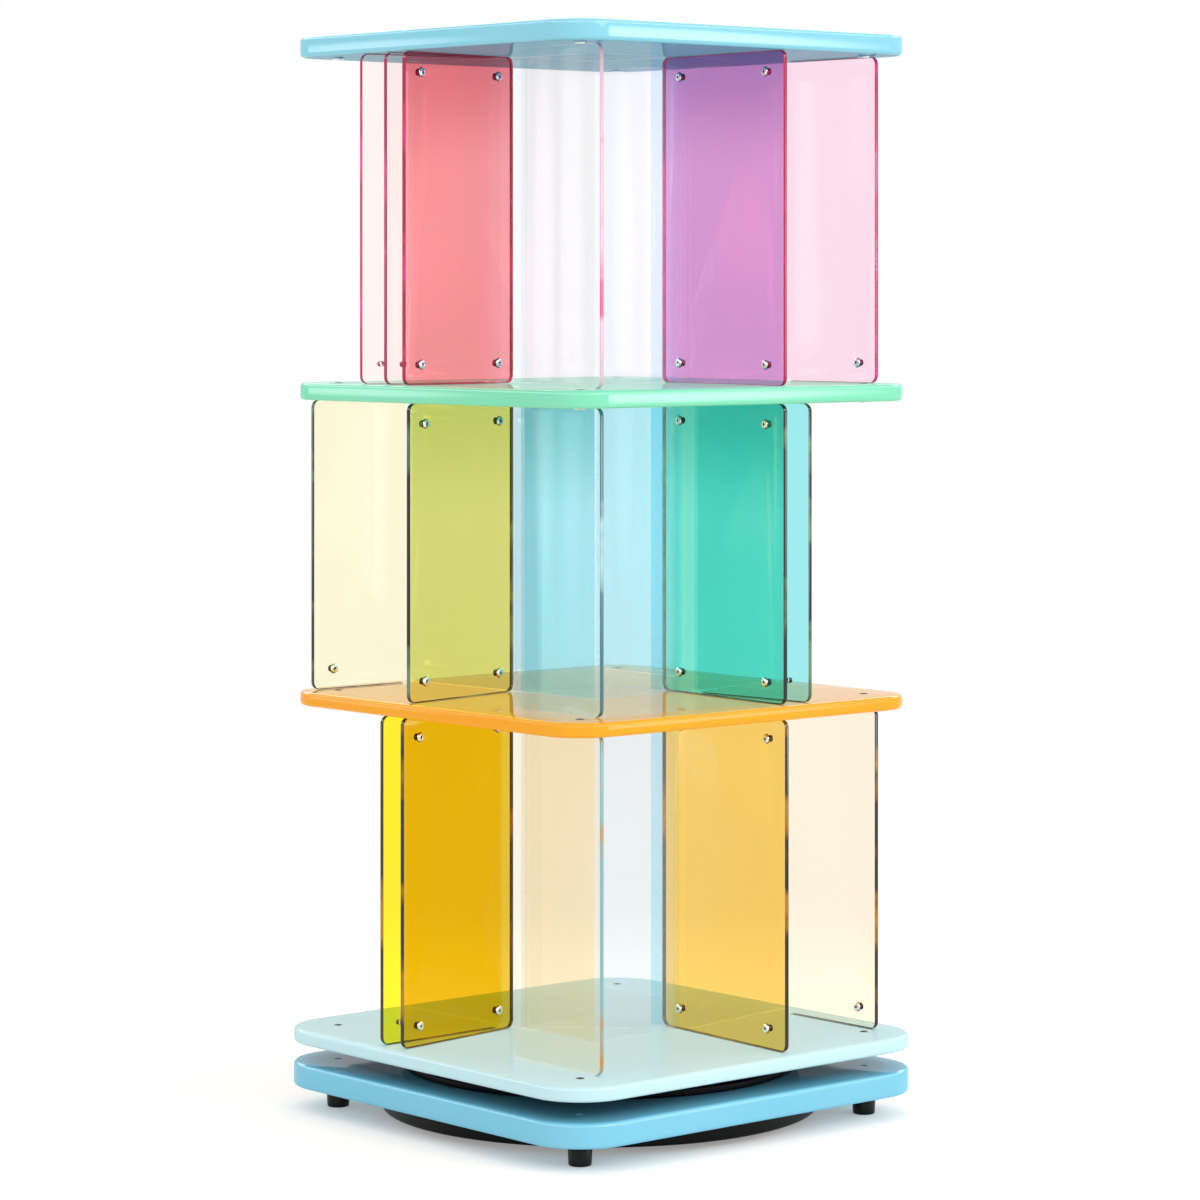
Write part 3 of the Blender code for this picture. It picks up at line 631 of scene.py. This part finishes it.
BOARD_EDGE = 3.5 * MM            # the round of their edges
BOARD_CORNER_STEPS = 16
BOLT_REACH = 165.0 * MM          # along X and along Y from the turning axis
BOLT_HOLE = 3.3 * MM             # its radius
BOLT_HOLE_SIDES = 20
BOLT_CORNERS = [(x, y) for x in (-BOLT_REACH, BOLT_REACH) for y in (-BOLT_REACH, BOLT_REACH)]
DRILL_OVERSHOOT = 1.0 * MM
FLOOR_CORNER = 50.0 * MM         # of the turning floor and the base plate
SHELF_CORNER = 38.0 * MM
# The boards that turn: corner radius, lacquer, and the darker lacquer underneath, which is
# painted shade, if there is one
TOWER_BOARDS = (
    ("turning_floor", FLOOR_CORNER, ICE_LACQUER, FLOOR_SHADED_UNDERSIDE),
    ("lower_shelf", SHELF_CORNER, ORANGE_LACQUER, None),
    ("upper_shelf", SHELF_CORNER, GREEN_LACQUER, None),
    ("top_board", SHELF_CORNER, SKY_LACQUER, SKY_SHADED_UNDERSIDE),
)


def board(name, corner_radius, paint, body, underside=None):
    """A lacquered board with soft edges and bolt holes; returns its lower and upper level."""
    low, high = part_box(name)
    width = high[0] - low[0]
    bm = bmesh.new()
    levels = quarter(-BOARD_EDGE, low[2] + BOARD_EDGE, BOARD_EDGE, -pi / 2)
    levels += quarter(-BOARD_EDGE, high[2] - BOARD_EDGE, BOARD_EDGE, 0.0)
    rings = []
    for inset, level in levels:
        outline = rounded_outline(width + 2 * inset, width + 2 * inset,
                                  corner_radius + inset, BOARD_CORNER_STEPS)
        rings.append([(x, y, level) for x, y in outline])
    loft(bm, rings)
    made = bpy.data.objects.new(name + "_blank", mesh_from(bm, name + "_blank"))
    bpy.context.collection.objects.link(made)
    holes = bmesh.new()
    for corner in BOLT_CORNERS:
        loft(holes, [circle(BOLT_HOLE, BOLT_HOLE_SIDES, level, corner)
                     for level in (low[2] - DRILL_OVERSHOOT, high[2] + DRILL_OVERSHOOT)])
    tool = bpy.data.objects.new(name + "_drill", mesh_from(holes, name + "_drill"))
    bpy.context.collection.objects.link(tool)
    step = made.modifiers.new("holes", "BOOLEAN")
    step.operation = "DIFFERENCE"
    step.solver = "EXACT"
    step.object = tool
    mesh = baked(made)
    bpy.data.objects.remove(tool, do_unlink=True)
    # The faces that look down take the darker lacquer, which is painted shade
    paints = (paint, underside) if underside else (paint,)
    for face in mesh.polygons:
        face.material_index = 1 if underside and face.normal.z < -SQUARE_ON else 0
    keep(name + "_lacquered", mesh, paints, body, (name,))
    return low[2], high[2]


# Turned pieces

DISC_SIDES = 128
# Pressed discs: bore radius, the round of the rim, and the body that each belongs to
DISCS = (
    ("turntable_lower_disc", 8.4 * MM, 2.0 * MM, "base"),
    ("turntable_upper_disc", 13.4 * MM, 2.0 * MM, "tower"),
    ("ballast_disc", 16.0 * MM, 2.5 * MM, "base"),
)
GROOVE_FROM_RIM = 14.0 * MM
GROOVE_WIDTH = 6.0 * MM
RACE_OUTER_RADIUS = 142.0 * MM
RACE_WIDTH = 14.0 * MM
FOOT_SIDES = 48
FOOT_TAPER = 1.0 * MM            # the foot's underside is this much smaller in radius
FOOT_EDGE = 1.5 * MM
FOOT_LIP = 0.8 * MM
FOOT_SCREW_HOLE = 2.3 * MM
FOOT_COUNTERBORE = 5.0 * MM
FOOT_COUNTERBORE_DEPTH = 9.0 * MM


def revolved(name, profile, sides, material, body, stands_for, centre=(0.0, 0.0)):
    """Turn a closed profile of radius and height points about an upright line."""
    bm = bmesh.new()
    loft(bm, [circle(radius, sides, height, centre) for radius, height in profile], closed=True)
    keep(name, mesh_from(bm, name), (material,), body, (stands_for,),
         smooth=40.0)


def recess(outer, width, slope, depth, face):
    """Profile points of a shallow recess in a disc's face; a negative depth goes down."""
    inner = outer - width
    return [(outer, face), (outer - slope, face + depth), (inner + slope, face + depth),
            (inner, face)]


def build_discs():
    """The two turntable discs and the ballast disc, with rolled rims.

    Each turntable disc has a groove just inside its rim and the race of the balls, both in
    the face that it turns to the other disc.
    """
    for name, bore, fillet, body in DISCS:
        low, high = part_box(name)
        radius, bottom, top = high[0], low[2], high[2]
        profile = [(bore, bottom)]
        profile += quarter(radius - fillet, bottom + fillet, fillet, -pi / 2)
        profile += quarter(radius - fillet, top - fillet, fillet, 0.0)
        profile += [(bore, top)]
        if name != "ballast_disc":
            is_lower = name == "turntable_lower_disc"
            face = top if is_lower else bottom
            inwards = -1 if is_lower else 1
            recesses = recess(radius - GROOVE_FROM_RIM, GROOVE_WIDTH, 1.0 * MM,
                              inwards * 0.8 * MM, face)
            recesses += recess(RACE_OUTER_RADIUS, RACE_WIDTH, 3.0 * MM,
                               inwards * 2.2 * MM, face)
            if is_lower:
                profile[-1:-1] = recesses
            else:
                profile[1:1] = recesses[::-1]
        revolved(name + "_pressed", profile, DISC_SIDES, BLACK_STEEL, body, name)


def build_feet():
    """Turned feet with a groove under the lip and a counterbore in the underside."""
    for end in ("front", "back"):
        for side in ("left", "right"):
            name = f"foot_{end}_{side}"
            low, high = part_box(name)
            centre = ((low[0] + high[0]) / 2, (low[1] + high[1]) / 2)
            radius, top = (high[0] - low[0]) / 2, high[2]
            profile = [(FOOT_SCREW_HOLE, FOOT_COUNTERBORE_DEPTH),
                       (FOOT_COUNTERBORE, FOOT_COUNTERBORE_DEPTH),
                       (FOOT_COUNTERBORE, 0.4 * MM), (FOOT_COUNTERBORE + 0.4 * MM, 0.0)]
            profile += quarter(radius - FOOT_TAPER - FOOT_EDGE, FOOT_EDGE, FOOT_EDGE, -pi / 2)
            for inset, drop in ((0.3, 3.4), (0.9, 2.6), (0.3, 1.8)):
                profile.append((radius - inset * MM, top - drop * MM))
            profile += quarter(radius - FOOT_LIP, top - FOOT_LIP, FOOT_LIP, 0.0)
            profile += [(FOOT_SCREW_HOLE, top)]
            revolved(name + "_moulded", profile, FOOT_SIDES, BLACK_RUBBER, "base", name, centre)


def dress_bearing():
    """The pivot pin and the ball cage keep their CAD shapes in bare steel."""
    for name in ("pivot_pin", "ball_cage"):
        mesh = frame["nodes"][name].data
        mesh.materials.clear()
        mesh.materials.append(BEARING_STEEL)


# Fasteners, set out by geometry nodes; their profiles are radius and height in millimetres

UP = Vector((0, 0, 1))
DOWN = Vector((0, 0, -1))


def proto(name, profile, sides, socket=None):
    """A turned fastener along +Z.

    If it has a socket, of a radius and a depth, that is sunk six-sided in its end.
    """
    bm = bmesh.new()
    rings = [circle(radius * MM, sides, height * MM) for radius, height in profile]
    if socket:
        radius, depth = socket[0] * MM, socket[1] * MM
        top = profile[-1][1] * MM
        rings.append(circle(radius * 1.08, sides, top))
        rings.append(hexagon(radius, sides, top - 0.1 * MM))
        rings.append(hexagon(radius, sides, top - depth))
    loft(bm, rings)
    made = bpy.data.objects.new(name, mesh_from(bm, name))
    bpy.context.collection.objects.link(made)
    made.hide_render = True
    return made


def set_out(name, spots, pattern, material, body):
    """Stand a fastener at each spot, turned to face along that spot's direction."""
    mesh = bpy.data.meshes.new(name)
    mesh.from_pydata([tuple(place) for place, _ in spots], [], [])
    facing = mesh.attributes.new("facing", "FLOAT_VECTOR", "POINT")
    for index, (_, direction) in enumerate(spots):
        facing.data[index].vector = direction
    source = bpy.data.objects.new(name, mesh)
    bpy.context.collection.objects.link(source)

    tree = bpy.data.node_groups.new(name + "_layout", "GeometryNodeTree")
    tree.interface.new_socket("Geometry", in_out="INPUT", socket_type="NodeSocketGeometry")
    size = tree.interface.new_socket("Size", in_out="INPUT", socket_type="NodeSocketFloat")
    size.default_value = 1.0
    fastener = tree.interface.new_socket("Fastener", in_out="INPUT",
                                         socket_type="NodeSocketObject")
    tree.interface.new_socket("Geometry", in_out="OUTPUT", socket_type="NodeSocketGeometry")
    enter = node(tree, "NodeGroupInput")
    shape = node(tree, "GeometryNodeObjectInfo", {}, {"Object": enter.outputs["Fastener"]})
    heading = node(tree, "GeometryNodeInputNamedAttribute", {"Name": "facing"},
                   data_type="FLOAT_VECTOR")
    turn = node(tree, "FunctionNodeAlignRotationToVector", {},
                {"Vector": heading.outputs["Attribute"]}, axis="Z")
    copies = node(tree, "GeometryNodeInstanceOnPoints", {},
                  {"Points": enter.outputs["Geometry"], "Instance": shape.outputs["Geometry"],
                   "Rotation": turn.outputs["Rotation"], "Scale": enter.outputs["Size"]})
    solid = node(tree, "GeometryNodeRealizeInstances", {},
                 {"Geometry": copies.outputs["Instances"]})
    painted = node(tree, "GeometryNodeSetMaterial", {"Material": material},
                   {"Geometry": solid.outputs["Geometry"]})
    node(tree, "NodeGroupOutput", {}, {"Geometry": painted.outputs["Geometry"]})

    layout = source.modifiers.new("layout", "NODES")
    layout.node_group = tree
    layout[size.identifier] = 1.0
    layout[fastener.identifier] = pattern
    keep(name, baked(source), (material,), body)


def build_screws(screws, clear_screws):
    """Button-head screws on thin black washers, whose rim round each head is painted shade, with
    a black disc in each socket as painted shade, and a flush threaded insert in each hole.

    Those of the sheets in CLEAR_SCREW_PARTS are clear heads alone, as the photograph shows
    only pale rings there.
    """
    head = proto("screw_head", [
        (1.9, 1.0), (1.9, 2.35), (3.6, 2.35), (3.9, 2.6), (3.9, 3.1), (3.7, 3.6), (3.2, 4.0),
        (2.4, 4.25),
    ], sides=28, socket=(1.3, 1.1))
    # A black disc at the bottom of each socket: painted shade in the recess
    socket = proto("socket_floor", [(1.15, 3.0), (1.15, 3.35)], sides=12)
    # The washer's black rim showing round each head is painted shade
    washer = proto("washer", [(4.2, 2.03), (4.3, 2.1), (4.3, 2.28), (4.2, 2.33)], sides=28)
    insert = proto("insert", [
        (1.6, -2.5), (2.9, -2.45), (3.1, -2.2), (3.0, -2.02), (1.9, -2.02), (1.9, 0.9),
        (1.2, 1.0),
    ], sides=24)
    set_out("clear_panel_screws", clear_screws, head, ACRYLICS["clear_acrylic"], "tower")
    set_out("panel_screws", screws, head, PLATED_STEEL, "tower")
    set_out("panel_screw_sockets", screws, socket, SHADE_AND_BLACK_STEEL, "tower")
    set_out("panel_washers", screws, washer, SHADE_AND_BLACK_STEEL, "tower")
    set_out("panel_inserts", screws, insert, DARK_STEEL, "tower")
    for used in (head, socket, washer, insert):
        bpy.data.objects.remove(used, do_unlink=True)


def build_corner_bolts(levels):
    """A flush black bolt head in each corner of the turning boards, a sleeve nut beneath."""
    bolt = proto("corner_bolt", [
        (2.6, -4.0), (2.6, 0.05), (3.7, 0.05), (3.8, 0.15), (3.5, 0.3),
    ], sides=24, socket=(2.0, 1.5))
    sleeve = proto("sleeve_nut", [
        (2.6, -4.0), (2.6, 0.05), (5.2, 0.05), (5.4, 0.3), (5.4, 1.1), (5.0, 1.5), (2.0, 1.6),
    ], sides=28)
    tops = [(Vector((x, y, high)), UP) for _, high in levels for x, y in BOLT_CORNERS]
    unders = [(Vector((x, y, low)), DOWN) for low, _ in levels for x, y in BOLT_CORNERS]
    set_out("corner_bolts", tops, bolt, SHADE_AND_BLACK_STEEL, "tower")
    set_out("corner_sleeve_nuts", unders, sleeve, PLATED_STEEL, "tower")
    for used in (bolt, sleeve):
        bpy.data.objects.remove(used, do_unlink=True)


def build_foot_screws(base_high):
    """The foot screws: heads in the counterbores, shanks up into the base plate."""
    shank = (base_high - FOOT_COUNTERBORE_DEPTH) / MM - 0.6
    screw = proto("foot_screw", [
        (2.0, -shank), (2.0, 0.1), (4.2, 0.1), (4.3, 0.6), (3.6, 2.0), (2.6, 2.6),
    ], sides=24, socket=(1.4, 1.4))
    spots = [(Vector((x, y, FOOT_COUNTERBORE_DEPTH)), DOWN) for x, y in BOLT_CORNERS]
    set_out("foot_screws", spots, screw, PLATED_STEEL, "base")
    bpy.data.objects.remove(screw, do_unlink=True)


# Studio

FLOOR_REACH = 3.2
# Softboxes that only reflections see. First a level band all round, as the sines of the
# elevations between which its strength changes
BAND_CHANGES = ((0.3, 0.4, 4.5), (0.5, 0.6, -4.5))
# Then two panels that the boards' right and left faces mirror: direction, the cosines of the
# angles from it at which the panel begins and is full, and strength
PANELS = (
    ((0.645, -0.764, 0.0), 0.99, 0.998, 6.0),
    ((-0.588, 0.809, 0.0), 0.996, 1.0, 4.0),
)


def seen_white(tree, dim, bright):
    """Use the bright shader for what the camera, mirrors and glass see, and the dim for light."""
    ray = node(tree, "ShaderNodeLightPath")
    first = node(tree, "ShaderNodeMath", {}, {0: ray.outputs["Is Camera Ray"],
                                              1: ray.outputs["Is Glossy Ray"]},
                 operation="MAXIMUM")
    second = node(tree, "ShaderNodeMath", {}, {0: first.outputs[0],
                                               1: ray.outputs["Is Transmission Ray"]},
                  operation="MAXIMUM")
    return node(tree, "ShaderNodeMixShader", {}, {0: second.outputs[0], 1: dim.outputs[0],
                                                  2: bright.outputs[0]})


def build_world():
    """A plain white world, with softboxes in it for reflections."""
    world = bpy.data.worlds.new("studio")
    bpy.context.scene.world = world
    world.use_nodes = True
    tree = world.node_tree
    tree.nodes.clear()
    output = node(tree, "ShaderNodeOutputWorld")
    dim = node(tree, "ShaderNodeBackground", {"Color": WHITE, "Strength": 0.92})
    bright = node(tree, "ShaderNodeBackground", {"Color": WHITE, "Strength": 1.0})
    plain = seen_white(tree, dim, bright)
    heading = node(tree, "ShaderNodeTexCoord").outputs["Generated"]
    height = node(tree, "ShaderNodeSeparateXYZ", {}, {"Vector": heading})
    boxes = []
    for begins, full, change in BAND_CHANGES:
        boxes.append(node(tree, "ShaderNodeMapRange",
                          {"From Min": begins, "From Max": full, "To Max": change},
                          {"Value": height.outputs["Z"]}, interpolation_type="SMOOTHSTEP"))
    for direction, begins, full, strength in PANELS:
        facing = node(tree, "ShaderNodeVectorMath", {1: direction}, {0: heading},
                      operation="DOT_PRODUCT")
        boxes.append(node(tree, "ShaderNodeMapRange",
                          {"From Min": begins, "From Max": full, "To Max": strength},
                          {"Value": facing.outputs["Value"]}, interpolation_type="SMOOTHSTEP"))
    ray = node(tree, "ShaderNodeLightPath")
    total = boxes[0].outputs["Result"]
    for box in boxes[1:]:
        total = node(tree, "ShaderNodeMath", {}, {0: total, 1: box.outputs["Result"]},
                     operation="ADD").outputs[0]
    mirrored = node(tree, "ShaderNodeMath", {}, {0: total, 1: ray.outputs["Is Glossy Ray"]},
                    operation="MULTIPLY")
    softboxes = node(tree, "ShaderNodeBackground", {"Color": WHITE},
                     {"Strength": mirrored.outputs[0]})
    lit = node(tree, "ShaderNodeAddShader", {}, {0: plain.outputs[0], 1: softboxes.outputs[0]})
    tree.links.new(lit.outputs[0], output.inputs["Surface"])


def build_floor():
    """White paper that holds the object's shadow near it and fades to plain white further off."""
    made, tree, output, place = new_material("white_paper_sweep")
    fibre = node(tree, "ShaderNodeTexNoise", {"Scale": pattern_scale(3.0), "Detail": 3.0},
                 {"Vector": place})
    tone = node(tree, "ShaderNodeMix",
                {MIX_FIRST: linear("#F8F3EE"), MIX_SECOND: linear("#FAF5F0")},
                {MIX_FACTOR: fibre.outputs["Fac"]}, data_type="RGBA")
    paper = node(tree, "ShaderNodeBsdfDiffuse", {}, {"Color": tone.outputs[MIX_RESULT]})
    glow = node(tree, "ShaderNodeEmission", {"Color": WHITE, "Strength": 0.27})
    lifted = node(tree, "ShaderNodeAddShader", {}, {0: paper.outputs[0], 1: glow.outputs[0]})
    white = node(tree, "ShaderNodeEmission", {"Color": WHITE, "Strength": 1.0})
    distance = node(tree, "ShaderNodeVectorMath", {}, {0: place}, operation="LENGTH")
    far = node(tree, "ShaderNodeMapRange", {"From Min": 0.35, "From Max": 1.3},
               {"Value": distance.outputs["Value"]}, interpolation_type="SMOOTHSTEP")
    sweep = node(tree, "ShaderNodeMixShader", {}, {0: far.outputs["Result"],
                                                   1: lifted.outputs[0], 2: white.outputs[0]})
    tree.links.new(seen_white(tree, paper, sweep).outputs[0], output.inputs["Surface"])
    bm = bmesh.new()
    bm.faces.new([bm.verts.new((x * FLOOR_REACH, y * FLOOR_REACH, 0.0))
                  for x, y in ((-1, -1), (1, -1), (1, 1), (-1, 1))])
    mesh = mesh_from(bm, "floor")
    mesh.materials.append(made)
    floor = bpy.data.objects.new("floor", mesh)
    bpy.context.collection.objects.link(floor)


def build_lamp():
    """One soft sun from the front and a little from the right."""
    place = Vector((0.9, -3.0, 2.0))
    lamp = bpy.data.lights.new("right_front_light", "SUN")
    lamp.angle = radians(40.0)
    lamp.energy = 0.85
    holder = bpy.data.objects.new("right_front_light", lamp)
    bpy.context.collection.objects.link(holder)
    holder.location = place
    aim = Vector((0.0, 0.0, 0.45)) - place
    holder.rotation_euler = aim.to_track_quat("-Z", "Y").to_euler()


def build_camera():
    """The photograph's view: level, from the front left corner, a little below the top."""
    lens = bpy.data.cameras.new("camera")
    lens.lens = 124.5
    lens.sensor_width = 36.0
    lens.shift_y = -0.2626
    camera = bpy.data.objects.new("camera", lens)
    bpy.context.collection.objects.link(camera)
    camera.location = (-2.4103, -2.7763, 0.7305)
    camera.rotation_euler = (pi / 2, 0.0, -atan(VIEW_X / VIEW_Y))
    bpy.context.scene.camera = camera


def main():
    """Build the scene."""
    build_camera()
    build_world()
    build_floor()
    build_lamp()
    screws, clear_screws = build_sheets()
    build_core_sheets()
    build_joint_strips()
    levels = [board(name, corner_radius, paint, "tower", underside)
              for name, corner_radius, paint, underside in TOWER_BOARDS]
    _, base_high = board("base_plate", FLOOR_CORNER, BASE_LACQUER, "base")
    build_discs()
    build_feet()
    build_screws(screws, clear_screws)
    build_corner_bolts(levels)
    build_foot_screws(base_high)
    dress_bearing()
    scene = bpy.context.scene
    scene.view_settings.view_transform = "Standard"
    scene.cycles.transparent_max_bounces = 64


main()
